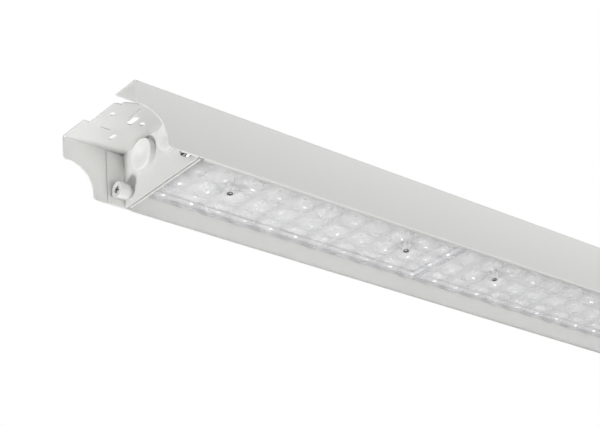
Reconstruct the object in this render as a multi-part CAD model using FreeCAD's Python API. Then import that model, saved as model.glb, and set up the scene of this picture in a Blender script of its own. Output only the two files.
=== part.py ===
import FreeCAD, Part
import math
import os

from FreeCAD import Vector

# LED batten light, in millimetres. X runs along the batten, Y across it and Z up.
# The origin is the middle of the housing's flat ceiling face.

# Housing: one folded sheet, an inverted channel
channel_length = 1261.0
channel_width = 90.0
channel_height = 46.2
channel_sheet = 1.0
bend_radius = 0.5
lip_width = 3.0
lip_start = 57.5
lip_drop = 0.8

# Curved cut-out at each wall end
cutout_radius = 21.6
cutout_height = 26.6
cutout_depth = 25.2
cutout_corner = 2.7

# Notch and tongue at each end of the ceiling web
web_lip_width = 23.9
web_far_width = 26.8
notch_depth = 22.0
tongue_setback = 5.5
tongue_corner_gap = 9.8
tongue_shoulder_x = 12.7
tongue_shoulder_gap = 3.4
tongue_root_x = 18.2
tongue_root_gap = 1.4
tongue_bite_radius = 1.6

# Holes in the ceiling web, placed from each channel end
fixing_hole_x = 38.1
fixing_hole_radius = 2.3
pilot_hole_x = 12.5
pilot_hole_radius = 2.2
cross_slot_x = 30.0
cross_slot_length = 12.0
cross_slot_width = 5.0
side_slot_x = 30.7
side_slot_inset = 19.0
side_slot_length = 7.7
side_slot_width = 3.6
relief_slit_x = 14.8
relief_slit_length = 9.1
relief_slit_width = 1.0
fold_line_x = 24.6
fold_line_gap = 4.1
fold_line_length = 15.5
fold_line_width = 0.7

# End plates
end_plate_x = 51.8
end_plate_sheet = 1.0
end_flange_length = 15.0
end_flange_top_gap = 1.0

# Cable grommets in the end plates
grommet_y = 16.0
grommet_drop = 14.7
grommet_radius = 12.4
grommet_front = 4.8
grommet_neck_radius = 9.9
grommet_clearance = 0.1
grommet_back_radius = 11.0
grommet_back = 2.0
grommet_dish_radius = 8.4
grommet_dish_floor = 4.0
grommet_dish_depth = 1.6
grommet_edge = 0.8

# LED tray and the screws that hold it to the end plates
tray_sheet = 1.0
tray_side_clearance = 0.4
tray_side_flange = 9.0
tray_gap = 2.2
tray_flange_clearance = 2.5
tray_screw_inset = 7.6
tray_screw_height = 8.8
tray_thread_radius = 2.0
tray_hole_clearance = 0.15
spacer_radius = 4.5
nut_radius = 4.2
nut_length = 3.5
screw_past_nut = 1.0
standoff_radius = 4.0
standoff_length = 2.8
knob_foot_radius = 5.8
knob_front_radius = 6.3
knob_length = 12.0
knob_edge = 0.7
knob_screw_head_radius = 2.7
knob_screw_head_length = 2.0
knob_recess_clearance = 0.2
knob_recess_depth = 2.3
dark_head_radius = 5.8
dark_head_length = 4.0
dark_head_edge = 1.2

# Lens plates: a clear base with rows of lenses on its lower face, as many plates as the length takes
lens_columns = 11
lens_rows = 4
lens_pitch_x = 25.75
lens_gap = 0.9
lens_end_margin = 7.4
lens_side_margin = 2.2
plate_gap = 0.6
plate_side_clearance = 0.4
plate_base = 2.0
plate_rim_width = 1.6
plate_rim_height = 1.0
lens_recess = 9.3
lens_height = 6.2
lens_sides = 8
lens_shoulder_step = 2.3
lens_shoulder_height = 3.9
lens_tip_step = 6.3
lens_root = 0.6
boss_radius = 4.6
boss_foot_radius = 5.6
boss_height = 5.2
boss_pad_radius = 4.0
columns_to_screw = 2
plate_screw_thread_radius = 1.5
plate_screw_clearance = 0.2
plate_screw_head_radius = 2.8
plate_screw_head_length = 1.0

# LED boards and chips
board_thickness = 1.6
board_inset = 0.4
chip_size = 3.0
chip_thickness = 0.7

# Driver and wiring on top of the tray
driver_length = 280.0
driver_width = 30.0
driver_height = 20.5
driver_edge = 1.5
ear_length = 11.0
ear_thickness = 3.0
stud_radius = 2.0
stud_clearance = 0.2
stud_past_nut = 1.0
stud_nut_radius = 4.0
stud_nut_length = 3.2
terminal_distance = 70.0
terminal_length = 24.0
terminal_width = 30.0
terminal_height = 17.0
terminal_pitch = 9.0
terminal_well_radius = 2.6
terminal_well_depth = 5.0
wire_radius = 1.2
wire_lift = 0.05
wire_spacing = 3.4
earth_distance = 30.0
lug_radius = 4.2
lug_thickness = 0.8
lug_barrel_radius = 2.0
lug_barrel_length = 6.0
connector_length = 12.0
connector_width = 9.0
connector_height = 8.0
connector_clearance = 0.5
connector_inset = 16.0
output_loop = 36.0
output_clearance = 0.6
bend_share = 0.45

# Levels and places that follow from the sizes above
bottom_z = -channel_height
plain_z = bottom_z + lip_drop
wall_inner_y = channel_width / 2 - channel_sheet
web_inner_z = -channel_sheet
near_lip_y = web_lip_width - channel_width / 2
tongue_far_y = channel_width / 2 - web_far_width
side_slot_y = channel_width / 2 - side_slot_inset
plate_half_width = wall_inner_y - plate_side_clearance
lens_pitch_y = 2 * (plate_half_width - lens_side_margin) / lens_rows
lens_radius = (lens_pitch_y - lens_gap) / 2
tray_flange_y = wall_inner_y - tray_flange_clearance
tray_screw_y = wall_inner_y - tray_screw_inset
connector_y = wall_inner_y - connector_inset
lens_tip_z = plain_z + lens_recess
plate_low_z = lens_tip_z + lens_height
plate_floor_z = plate_low_z + plate_base
board_low_z = plate_floor_z + plate_rim_height
tray_low_z = board_low_z + board_thickness
tray_top_z = tray_low_z + tray_sheet
tray_flange_x = end_plate_x + end_plate_sheet + tray_gap
plate_pitch = lens_columns * lens_pitch_x
lens_end_room = tray_flange_x + tray_sheet + lens_end_margin
plate_count = math.floor((channel_length - 2 * lens_end_room) / plate_pitch)
plate_start_x = (channel_length - plate_count * plate_pitch) / 2
left_x = -channel_length / 2
tray_screw_z = plain_z + tray_screw_height
nut_x = tray_flange_x + tray_sheet
screw_end_x = nut_x + nut_length + screw_past_nut
wire_z = tray_top_z + wire_radius + wire_lift
lead_z = wire_z + ear_thickness
output_y = stud_nut_radius + wire_radius + output_clearance
overcut = 5.0


def block(x0, x1, y0, y1, z0, z1):
    """Box between two corners."""
    return Part.makeBox(x1 - x0, y1 - y0, z1 - z0, Vector(x0, y0, z0))


def rod(x0, x1, y, z, radius):
    """Round bar along X."""
    return Part.makeCylinder(radius, x1 - x0, Vector(x0, y, z), Vector(1, 0, 0))


def post(x, y, z0, z1, radius):
    """Round bar along Z."""
    return Part.makeCylinder(radius, z1 - z0, Vector(x, y, z0), Vector(0, 0, 1))


def polygon(x, y, z, radius, sides):
    """Level regular polygon with a flat side facing each way along X."""
    turns = [(i + 0.5) * 2 * math.pi / sides for i in range(sides + 1)]
    return Part.makePolygon([Vector(x + radius * math.cos(a), y + radius * math.sin(a), z) for a in turns])


def prism(x, y, z0, z1, radius, sides):
    """Upright regular prism."""
    return Part.Face(polygon(x, y, z0, radius, sides)).extrude(Vector(0, 0, z1 - z0))


def faceted(x, y, steps, sides):
    """Solid with flat facets between level polygons; steps give (z, radius) from one end to the other."""
    rings = [polygon(x, y, z, radius, sides).OrderedVertexes for z, radius in steps]
    rings = [[vertex.Point for vertex in ring] for ring in rings]
    faces = [Part.Face(Part.makePolygon(ring + ring[:1])) for ring in (rings[0], rings[-1])]
    for ring, after in zip(rings, rings[1:]):
        for i in range(sides):
            k = (i + 1) % sides
            faces.append(Part.Face(Part.makePolygon([ring[i], ring[k], after[k], after[i], ring[i]])))
    return Part.makeSolid(Part.makeShell(faces))


def spin_x(profile, x, y, z):
    """Solid turned about a line along X; profile gives (distance along X, radius) points."""
    points = [Vector(x + u, y + r, z) for u, r in profile]
    face = Part.Face(Part.makePolygon(points + points[:1]))
    return face.revolve(Vector(x, y, z), Vector(1, 0, 0), 360)


def round_slot(x, y, z0, z1, length, width):
    """Upright slot with round ends, its length along Y."""
    reach = (length - width) / 2
    middle = block(x - width / 2, x + width / 2, y - reach, y + reach, z0, z1)
    ends = [post(x, y - reach, z0, z1, width / 2), post(x, y + reach, z0, z1, width / 2)]
    return middle.multiFuse(ends).removeSplitter()


def from_left(distance):
    """X of a point at this distance from the left channel end."""
    return left_x + distance


def mirrored(shape):
    """The same piece at the right end of the batten."""
    return shape.mirror(Vector(0, 0, 0), Vector(1, 0, 0))


def both_ends(shape):
    """A piece and its mirror image, as a list."""
    return [shape, mirrored(shape)]


def folded_face(points, radius, sheet, place):
    """Section of a folded sheet.

    points give the middle line of the sheet, radius is the inside radius of its bends
    and place turns a flat (u, v) point into a point in space.
    """
    middle_radius = radius + sheet / 2
    flat = [Vector(u, v, 0) for u, v in points]
    left, right = [], []

    def add(side, offset, kind, data):
        side.append((kind, [p + n * offset for p, n in data]))

    start = flat[0]
    for here, corner, after in zip(flat, flat[1:], flat[2:]):
        ahead = (corner - here).normalize()
        onward = (after - corner).normalize()
        turn = ahead.cross(onward).z
        half = ahead.getAngle(onward) / 2
        back = middle_radius * math.tan(half)
        first, last = corner - ahead * back, corner + onward * back
        n_first, n_last = Vector(-ahead.y, ahead.x, 0), Vector(-onward.y, onward.x, 0)
        sign = 1 if turn > 0 else -1
        centre = first + n_first * (sign * middle_radius)
        n_mid = (n_first + n_last).normalize()
        mid = centre - n_mid * (sign * middle_radius)
        for side, offset in ((left, sheet / 2), (right, -sheet / 2)):
            add(side, offset, "line", [(start, n_first), (first, n_first)])
            add(side, offset, "arc", [(first, n_first), (mid, n_mid), (last, n_last)])
        start = last
    ahead = (flat[-1] - start).normalize()
    normal = Vector(-ahead.y, ahead.x, 0)
    for side, offset in ((left, sheet / 2), (right, -sheet / 2)):
        add(side, offset, "line", [(start, normal), (flat[-1], normal)])

    def edge(kind, ends):
        spots = [place(p.x, p.y) for p in ends]
        if kind == "arc":
            return Part.Arc(*spots).toShape()
        return Part.LineSegment(*spots).toShape()

    caps = [("line", [left[0][1][0], right[0][1][0]]), ("line", [left[-1][1][-1], right[-1][1][-1]])]
    edges = [edge(kind, ends) for kind, ends in left + right + caps]
    return Part.Face(Part.Wire(Part.__sortEdges__(edges)))


def channel_section(x, with_lip):
    """Section of the housing at x, with or without the lip turned in along its wall edges."""
    wall_y = channel_width / 2 - channel_sheet / 2
    web_z = -channel_sheet / 2
    near = [(-wall_y, plain_z)]
    if with_lip:
        lip_z = bottom_z + channel_sheet / 2
        near = [(lip_width - channel_width / 2, lip_z), (-wall_y, lip_z)]
    near = near + [(-wall_y, web_z)]
    far = [(-y, z) for y, z in reversed(near)]
    return folded_face(near + far, bend_radius, channel_sheet, lambda u, v: Vector(x, u, v))


def wall_end_cutter():
    """Tool that shapes the left end of both walls: corner, hollow curve, corner."""
    def spot(u, v):
        return Vector(from_left(u), -channel_width, plain_z + v)

    def bend(centre_u, centre_v, radius, first, last):
        angles = [math.radians(a) for a in (first, (first + last) / 2, last)]
        return Part.Arc(*[spot(centre_u + radius * math.cos(a), centre_v + radius * math.sin(a))
                          for a in angles]).toShape()

    def line(a, b):
        return Part.LineSegment(spot(*a), spot(*b)).toShape()

    r = cutout_corner
    curve_u = cutout_depth - cutout_radius
    curve_v = cutout_height - cutout_radius
    low = (cutout_depth + r, -overcut)
    edges = [
        line((-overcut, -overcut), low),
        line(low, (cutout_depth + r, 0)),
        bend(cutout_depth + r, r, r, -90, -180),
        line((cutout_depth, r), (cutout_depth, curve_v)),
        bend(curve_u, curve_v, cutout_radius, 0, 90),
        line((curve_u, cutout_height), (r, cutout_height)),
        bend(r, cutout_height + r, r, -90, -180),
        line((0, cutout_height + r), (-overcut, cutout_height + r)),
        line((-overcut, cutout_height + r), (-overcut, -overcut)),
    ]
    return Part.Face(Part.Wire(edges)).extrude(Vector(0, 2 * channel_width, 0))


def web_end_cutters():
    """Tools for the left end of the ceiling web: notch, holes and slots."""
    low, high = web_inner_z - overcut, overcut
    shoulder_y = near_lip_y + tongue_shoulder_gap
    corner_y = near_lip_y + tongue_corner_gap
    outline = [
        (-overcut, near_lip_y),
        (notch_depth, near_lip_y),
        (tongue_root_x, near_lip_y + tongue_root_gap),
        (tongue_shoulder_x, shoulder_y),
        (tongue_setback, corner_y),
        (tongue_setback, tongue_far_y),
        (-overcut, tongue_far_y),
    ]
    spots = [Vector(from_left(u), v, low) for u, v in outline]
    notch = Part.Face(Part.makePolygon(spots + spots[:1])).extrude(Vector(0, 0, high - low))
    bite_x = (tongue_setback + tongue_shoulder_x) / 2
    bite_y = (corner_y + shoulder_y) / 2
    slit_end = relief_slit_x + relief_slit_length
    slit_y = tongue_far_y
    fold_line_y = near_lip_y + fold_line_gap
    return [
        notch,
        post(from_left(bite_x), bite_y, low, high, tongue_bite_radius),
        post(from_left(fixing_hole_x), 0, low, high, fixing_hole_radius),
        post(from_left(pilot_hole_x), 0, low, high, pilot_hole_radius),
        round_slot(from_left(cross_slot_x), 0, low, high, cross_slot_length, cross_slot_width),
        round_slot(from_left(side_slot_x), side_slot_y, low, high, side_slot_length, side_slot_width),
        round_slot(from_left(side_slot_x), -side_slot_y, low, high, side_slot_length, side_slot_width),
        block(from_left(relief_slit_x), from_left(slit_end), slit_y, slit_y + relief_slit_width, low, high),
        block(from_left(fold_line_x), from_left(fold_line_x + fold_line_width),
              fold_line_y, fold_line_y + fold_line_length, low, high),
    ]


def housing_channel():
    """Folded sheet channel with plain ends, and a lip along both wall edges between the end plates."""
    end = channel_section(left_x, False).extrude(Vector(lip_start, 0, 0))
    middle = channel_section(from_left(lip_start), True)
    middle = middle.extrude(Vector(channel_length - 2 * lip_start, 0, 0))
    body = middle.multiFuse(both_ends(end)).removeSplitter()
    cutters = [wall_end_cutter()] + web_end_cutters()
    return body.cut([tool for cutter in cutters for tool in both_ends(cutter)])


def end_plate():
    """Left end plate: an upright sheet up to the web, with a lower flange folded along each wall."""
    flange_y = wall_inner_y - end_plate_sheet / 2
    plate_x = from_left(end_plate_x + end_plate_sheet / 2)
    flange_x = from_left(end_plate_x - end_flange_length)
    line = [(flange_x, -flange_y), (plate_x, -flange_y), (plate_x, flange_y), (flange_x, flange_y)]
    top_z = web_inner_z - end_flange_top_gap
    plan = folded_face(line, bend_radius, end_plate_sheet, lambda u, v: Vector(u, v, plain_z))
    plate = plan.extrude(Vector(0, 0, top_z - plain_z))
    crest_y = wall_inner_y - end_plate_sheet - bend_radius
    crest = block(from_left(end_plate_x), from_left(end_plate_x + end_plate_sheet), -crest_y, crest_y,
                  top_z, web_inner_z)
    plate = plate.fuse(crest).removeSplitter()
    back_x = from_left(end_plate_x + end_plate_sheet + overcut)
    hole_radius = grommet_neck_radius + grommet_clearance
    screw_radius = tray_thread_radius + tray_hole_clearance
    front_x = from_left(end_plate_x - overcut)
    holes = [rod(front_x, back_x, side * grommet_y, -grommet_drop, hole_radius) for side in (-1, 1)]
    holes += [rod(front_x, back_x, side * tray_screw_y, tray_screw_z, screw_radius) for side in (-1, 1)]
    return plate.cut(holes)


def cable_grommet(side):
    """Round grommet with a dished blank face, seated in the left end plate."""
    floor = grommet_dish_depth - grommet_front
    back = end_plate_sheet + grommet_back
    profile = [
        (floor, 0),
        (floor, grommet_dish_floor),
        (-grommet_front, grommet_dish_radius),
        (-grommet_front, grommet_radius - grommet_edge),
        (grommet_edge - grommet_front, grommet_radius),
        (0, grommet_radius),
        (0, grommet_neck_radius),
        (end_plate_sheet, grommet_neck_radius),
        (end_plate_sheet, grommet_back_radius),
        (back, grommet_neck_radius),
        (back, 0),
    ]
    return spin_x(profile, from_left(end_plate_x), side * grommet_y, -grommet_drop)


def stud_places():
    """X, Y and height of each threaded stud welded to the tray: two for the driver, one for earth."""
    driver_stud_x = driver_length / 2 + ear_length / 2
    driver_stud = ear_thickness + stud_nut_length + stud_past_nut
    earth_stud = lug_thickness + stud_nut_length + stud_past_nut
    earth_x = terminal_left_x() - earth_distance
    return [
        (-driver_stud_x, 0, driver_stud),
        (driver_stud_x, 0, driver_stud),
        (earth_x, terminal_pitch, earth_stud),
    ]


def led_tray():
    """Folded sheet tray: flat panel, end flanges turned down and side flanges turned up."""
    panel_z = tray_low_z + tray_sheet / 2
    flange_x = tray_flange_x + tray_sheet / 2
    length_line = [(from_left(flange_x), plain_z), (from_left(flange_x), panel_z)]
    length_line = length_line + [(-u, v) for u, v in reversed(length_line)]
    along = folded_face(length_line, bend_radius, tray_sheet, lambda u, v: Vector(u, -tray_flange_y, v))
    along = along.extrude(Vector(0, 2 * tray_flange_y, 0))
    side_y = wall_inner_y - tray_side_clearance - tray_sheet / 2
    side_top = tray_low_z + tray_side_flange
    width_line = [(-side_y, side_top), (-side_y, panel_z), (side_y, panel_z), (side_y, side_top)]
    panel_x = from_left(plate_start_x)
    across = folded_face(width_line, bend_radius, tray_sheet, lambda u, v: Vector(panel_x, u, v))
    across = across.extrude(Vector(-2 * panel_x, 0, 0))
    studs = [post(x, y, tray_low_z, tray_top_z + rise, stud_radius) for x, y, rise in stud_places()]
    tray = along.fuse(across).multiFuse(studs).removeSplitter()
    screw_radius = tray_thread_radius + tray_hole_clearance
    holes = []
    for side in (-1, 1):
        hole = rod(from_left(end_plate_x), from_left(screw_end_x), side * tray_screw_y, tray_screw_z,
                   screw_radius)
        holes += both_ends(hole)
    for x in plate_screw_places():
        holes.append(post(x, 0, tray_low_z - overcut, tray_top_z + overcut, plate_screw_thread_radius))
    window_x = connector_length / 2 + connector_clearance
    window_y = connector_width / 2 + connector_clearance
    for x in plate_middles():
        holes.append(block(x - window_x, x + window_x, connector_y - window_y, connector_y + window_y,
                           tray_low_z - overcut, tray_top_z + overcut))
    return tray.cut(holes)


def plate_starts():
    """X of the first edge of each lens plate cell."""
    return [from_left(plate_start_x + i * plate_pitch) for i in range(plate_count)]


def plate_middles():
    """X of the middle of each lens plate."""
    return [x + plate_pitch / 2 for x in plate_starts()]


def plate_screw_places():
    """X of every lens plate screw, the same number of cells from both ends of its plate."""
    near = columns_to_screw * lens_pitch_x
    return [x + step for x in plate_starts() for step in (near, plate_pitch - near)]


def lens_centres(x):
    """X and Y of every lens of the plate that starts at x."""
    first_y = -(lens_rows - 1) * lens_pitch_y / 2
    return [(x + (column + 0.5) * lens_pitch_x, first_y + row * lens_pitch_y)
            for column in range(lens_columns) for row in range(lens_rows)]


def lens(x, y):
    """One faceted lens, rooted in the plate and pointing down."""
    steps = [
        (plate_low_z + lens_root, lens_radius),
        (plate_low_z, lens_radius),
        (plate_low_z - lens_shoulder_height, lens_radius - lens_shoulder_step),
        (lens_tip_z, lens_radius - lens_tip_step),
    ]
    return faceted(x, y, steps, lens_sides)


def screw_boss(x):
    """Raised seat for a lens plate screw."""
    steps = [
        (plate_low_z + lens_root, boss_foot_radius),
        (plate_low_z, boss_foot_radius),
        (plate_low_z - boss_height, boss_radius),
    ]
    return faceted(x, 0, steps, lens_sides)


def lens_plate():
    """First lens plate: clear base with a rim that seats on the board, lenses and screw bosses."""
    x = plate_starts()[0]
    x0, x1 = x + plate_gap / 2, x + plate_pitch - plate_gap / 2
    half = plate_half_width
    base = block(x0, x1, -half, half, plate_low_z, board_low_z)
    rim = plate_rim_width
    pocket = block(x0 + rim, x1 - rim, rim - half, half - rim, plate_floor_z, board_low_z)
    screws = plate_screw_places()[:2]
    pads = [post(s, 0, plate_floor_z, board_low_z, boss_pad_radius) for s in screws]
    plate = base.cut(pocket.cut(pads))
    plate = plate.multiFuse([lens(*spot) for spot in lens_centres(x)] + [screw_boss(s) for s in screws])
    radius = plate_screw_thread_radius + plate_screw_clearance
    holes = [post(s, 0, lens_tip_z - overcut, board_low_z + overcut, radius) for s in screws]
    return plate.removeSplitter().cut(holes)


def led_board():
    """First LED board, flat against the tray."""
    x = plate_starts()[0]
    edge = plate_gap / 2 + board_inset
    half = plate_half_width - board_inset
    board = block(x + edge, x + plate_pitch - edge, -half, half, board_low_z, tray_low_z)
    radius = plate_screw_thread_radius + plate_screw_clearance
    return board.cut([post(s, 0, board_low_z - overcut, tray_low_z + overcut, radius)
                      for s in plate_screw_places()[:2]])


def led_chips():
    """Light emitting chips of the first board, one behind each lens."""
    half = chip_size / 2
    return Part.makeCompound([
        block(x - half, x + half, y - half, y + half, board_low_z - chip_thickness, board_low_z)
        for x, y in lens_centres(plate_starts()[0])])


def lens_screws():
    """All lens plate screws, from boss to tray."""
    seat_z = plate_low_z - boss_height
    screws = []
    for x in plate_screw_places():
        head = post(x, 0, seat_z - plate_screw_head_length, seat_z, plate_screw_head_radius)
        thread = post(x, 0, seat_z, tray_top_z, plate_screw_thread_radius)
        screws.append(head.fuse(thread))
    return Part.makeCompound(screws)


def tray_ring(x, length, outside, side):
    """Ring on the tray screw line, from x towards the middle of the batten."""
    ring = rod(from_left(x), from_left(x + length), side * tray_screw_y, tray_screw_z, outside)
    bore = tray_thread_radius + tray_hole_clearance
    return ring.cut(rod(from_left(x - overcut), from_left(x + length + overcut),
                        side * tray_screw_y, tray_screw_z, bore))


def tray_rings(x, length, outside):
    """The same ring on all four tray screws."""
    return Part.makeCompound([ring for side in (-1, 1)
                              for ring in both_ends(tray_ring(x, length, outside, side))])


def retaining_knob():
    """White flared barrel that stands off the left end plate on a neck, bored for its screw."""
    bore = tray_thread_radius + tray_hole_clearance
    recess = knob_screw_head_radius + knob_recess_clearance
    profile = [
        (0, bore),
        (0, standoff_radius),
        (-standoff_length, standoff_radius),
        (-standoff_length, knob_foot_radius),
        (knob_edge - knob_length, knob_front_radius),
        (-knob_length, knob_front_radius - knob_edge),
        (-knob_length, recess),
        (knob_recess_depth - knob_length, recess),
        (knob_recess_depth - knob_length, bore),
    ]
    return spin_x(profile, from_left(end_plate_x), tray_screw_y, tray_screw_z)


def knob_screw():
    """Screw that holds the retaining knob, end plate, spacer and tray together."""
    seat = knob_recess_depth - knob_length
    profile = [
        (seat - knob_screw_head_length, 0),
        (seat - knob_screw_head_length, knob_screw_head_radius),
        (seat, knob_screw_head_radius),
        (seat, tray_thread_radius),
        (screw_end_x - end_plate_x, tray_thread_radius),
        (screw_end_x - end_plate_x, 0),
    ]
    return spin_x(profile, from_left(end_plate_x), tray_screw_y, tray_screw_z)


def end_plate_screw():
    """Dark pan head screw on the other side of the left end plate, with a collar under its head."""
    front = standoff_length + dark_head_length
    profile = [
        (-front, 0),
        (-front, dark_head_radius - dark_head_edge),
        (dark_head_edge - front, dark_head_radius),
        (-standoff_length, dark_head_radius),
        (-standoff_length, standoff_radius),
        (0, standoff_radius),
        (0, tray_thread_radius),
        (screw_end_x - end_plate_x, tray_thread_radius),
        (screw_end_x - end_plate_x, 0),
    ]
    return spin_x(profile, from_left(end_plate_x), -tray_screw_y, tray_screw_z)


def led_driver():
    """Slim driver case with a fixing ear at each end."""
    half_x, half_y = driver_length / 2, driver_width / 2
    case = block(-half_x, half_x, -half_y, half_y, tray_top_z, tray_top_z + driver_height)
    long_edges = [e for e in case.Edges if abs(e.Length - driver_length) < 1e-6 and
                  e.CenterOfMass.z > tray_top_z + driver_height / 2]
    case = case.makeFillet(driver_edge, long_edges)
    ears = [block(half_x, half_x + ear_length, -half_y, half_y, tray_top_z, tray_top_z + ear_thickness)]
    ears.append(mirrored(ears[0]))
    hole = post(half_x + ear_length / 2, 0, tray_top_z - overcut, tray_top_z + driver_height,
                stud_radius + stud_clearance)
    return case.multiFuse(ears).removeSplitter().cut(both_ends(hole))


def stud_nut(x, y, seat_z):
    """Hexagon nut on a tray stud."""
    nut = prism(x, y, seat_z, seat_z + stud_nut_length, stud_nut_radius, 6)
    return nut.cut(post(x, y, seat_z - overcut, seat_z + stud_nut_length + overcut,
                        stud_radius + stud_clearance))


def driver_nuts():
    """Nuts that hold the driver's ears."""
    seat_z = tray_top_z + ear_thickness
    return Part.makeCompound([stud_nut(x, y, seat_z) for x, y, _ in stud_places()[:2]])


def earth_nut():
    """Nut that clamps the earth lug to the tray."""
    x, y, _ = stud_places()[2]
    return stud_nut(x, y, tray_top_z + lug_thickness)


def terminal_left_x():
    """X of the terminal block's far face from the driver."""
    return -driver_length / 2 - ear_length - terminal_distance - terminal_length


def terminal_block():
    """Mains terminal block with a screw well over each pole."""
    x0 = terminal_left_x()
    x1 = x0 + terminal_length
    half = terminal_width / 2
    body = block(x0, x1, -half, half, tray_top_z, tray_top_z + terminal_height)
    top = tray_top_z + terminal_height
    wells = [post((x0 + x1) / 2, pole * terminal_pitch, top - terminal_well_depth, top + overcut,
                  terminal_well_radius) for pole in (-1, 0, 1)]
    return body.cut(wells)


def mains_leads():
    """Two straight leads from the terminal block over the ear into the driver's end."""
    x0 = terminal_left_x() + terminal_length
    x1 = -driver_length / 2
    return Part.makeCompound([rod(x0, x1, pole * terminal_pitch, lead_z, wire_radius) for pole in (-1, 1)])


def earth_lead():
    """Earth lead with its crimped ring lug under the earth nut."""
    x, y, _ = stud_places()[2]
    ring = post(x, y, tray_top_z, tray_top_z + lug_thickness, lug_radius)
    ring = ring.cut(post(x, y, tray_top_z - overcut, tray_top_z + overcut, stud_radius + stud_clearance))
    barrel_x = x + lug_radius
    barrel_z = tray_top_z + lug_barrel_radius
    barrel = rod(barrel_x, barrel_x + lug_barrel_length, y, barrel_z, lug_barrel_radius)
    neck = block(x + stud_radius + stud_clearance, barrel_x + lug_barrel_length, y - lug_barrel_radius / 2,
                 y + lug_barrel_radius / 2, tray_top_z, tray_top_z + lug_thickness)
    lead = rod(barrel_x, terminal_left_x(), y, barrel_z, wire_radius)
    return ring.multiFuse([neck, barrel, lead]).removeSplitter()


def board_connector(x):
    """Lead connector on the back of a board, standing up through its tray window."""
    return block(x - connector_length / 2, x + connector_length / 2, connector_y - connector_width / 2,
                 connector_y + connector_width / 2, tray_low_z, tray_low_z + connector_height)


def pole_places():
    """Y of the two poles of every board connector."""
    return [connector_y - wire_spacing / 2, connector_y + wire_spacing / 2]


def board_link_leads():
    """Pairs of straight leads between neighbouring boards."""
    half = connector_length / 2
    middles = plate_middles()
    return Part.makeCompound([rod(a + half, b - half, y, wire_z, wire_radius)
                              for a, b in zip(middles, middles[1:]) for y in pole_places()])


def bent_lead(points):
    """Round lead along straight runs joined by tangent arcs, at the level of the driver's ends."""
    spots = [Vector(x, y, lead_z) for x, y in points]
    spans = []
    start = spots[0]
    for here, corner, after in zip(spots, spots[1:], spots[2:]):
        ahead = corner - here
        onward = after - corner
        back = bend_share * min(ahead.Length, onward.Length)
        turn = ahead.getAngle(onward)
        radius = back / math.tan(turn / 2)
        first = corner - ahead.normalize() * back
        left_turn = ahead.cross(onward).z > 0
        axis = Vector(0, 0, 1 if left_turn else -1)
        spans.append(Part.makeCylinder(wire_radius, (first - start).Length, start, ahead))
        ring = Part.Face(Part.Wire(Part.makeCircle(wire_radius, first, ahead)))
        spans.append(ring.revolve(first + axis.cross(ahead) * radius, axis, math.degrees(turn)))
        start = corner + onward.normalize() * back
    spans.append(Part.makeCylinder(wire_radius, (spots[-1] - start).Length, start, spots[-1] - start))
    return spans[0].multiFuse(spans[1:]).removeSplitter()


def driver_output_lead(step):
    """One output lead: out of the driver's end, round and back into the next board connector."""
    near_y, far_y = output_y + (1 - step) * wire_spacing, pole_places()[step]
    start_x = driver_length / 2
    loop_x = start_x + ear_length + output_loop + step * wire_spacing
    end_x = plate_middles()[plate_count // 2] + connector_length / 2
    return bent_lead([(start_x, near_y), (loop_x, near_y), (loop_x, far_y), (end_x, far_y)])


def all_parts():
    """Every node's name and shape."""
    parts = {
        "housing_channel": housing_channel(),
        "led_tray": led_tray(),
        "lens_screws": lens_screws(),
        "spacer_washers": tray_rings(end_plate_x + end_plate_sheet, tray_gap, spacer_radius),
        "tray_nuts": tray_rings(nut_x, nut_length, nut_radius),
        "led_driver": led_driver(),
        "driver_nuts": driver_nuts(),
        "terminal_block": terminal_block(),
        "mains_leads": mains_leads(),
        "earth_lead": earth_lead(),
        "earth_nut": earth_nut(),
        "board_link_leads": board_link_leads(),
        "driver_lead_plus": driver_output_lead(0),
        "driver_lead_minus": driver_output_lead(1),
    }
    end_pieces = {
        "end_plate": end_plate(),
        "cable_grommet_near": cable_grommet(-1),
        "cable_grommet_far": cable_grommet(1),
        "retaining_knob": retaining_knob(),
        "knob_screw": knob_screw(),
        "end_plate_screw": end_plate_screw(),
    }
    for name, shape in end_pieces.items():
        parts[name + "_left"] = shape
        parts[name + "_right"] = mirrored(shape)
    plate_pieces = {"lens_plate": lens_plate(), "led_board": led_board(), "led_chips": led_chips()}
    for index in range(plate_count):
        for name, shape in plate_pieces.items():
            copy = shape.copy()
            copy.translate(Vector(index * plate_pitch, 0, 0))
            parts[f"{name}_{index + 1}"] = copy
        parts[f"board_connector_{index + 1}"] = board_connector(plate_middles()[index])
    return parts


os.makedirs("parts", exist_ok=True)
for node, shape in all_parts().items():
    shape.exportStep(f"parts/{node}.step")
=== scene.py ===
"""Looks of the LED batten light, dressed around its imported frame, in metres.

X runs along the batten, Y across it and Z up. The origin is the middle of the housing's ceiling face.
"""

import logging
import math
from collections.abc import Callable
from dataclasses import dataclass, field
from enum import Enum

import bmesh
import bpy
from mathutils import Matrix, Quaternion, Vector


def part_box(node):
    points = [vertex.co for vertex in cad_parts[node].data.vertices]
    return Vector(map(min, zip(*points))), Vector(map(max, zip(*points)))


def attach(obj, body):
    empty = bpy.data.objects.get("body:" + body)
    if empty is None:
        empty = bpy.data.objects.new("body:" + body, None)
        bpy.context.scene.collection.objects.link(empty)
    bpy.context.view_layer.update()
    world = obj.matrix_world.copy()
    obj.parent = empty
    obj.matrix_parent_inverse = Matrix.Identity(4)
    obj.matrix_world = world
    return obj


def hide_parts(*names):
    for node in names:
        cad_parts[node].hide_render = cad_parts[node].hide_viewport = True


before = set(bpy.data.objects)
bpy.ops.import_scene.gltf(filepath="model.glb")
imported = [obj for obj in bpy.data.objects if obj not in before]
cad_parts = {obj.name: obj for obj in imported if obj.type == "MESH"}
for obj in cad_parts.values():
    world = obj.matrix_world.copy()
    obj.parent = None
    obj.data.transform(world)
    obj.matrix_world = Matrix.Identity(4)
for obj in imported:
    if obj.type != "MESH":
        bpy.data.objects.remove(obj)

LOG = logging.getLogger("batten")
MM = 0.001
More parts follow.
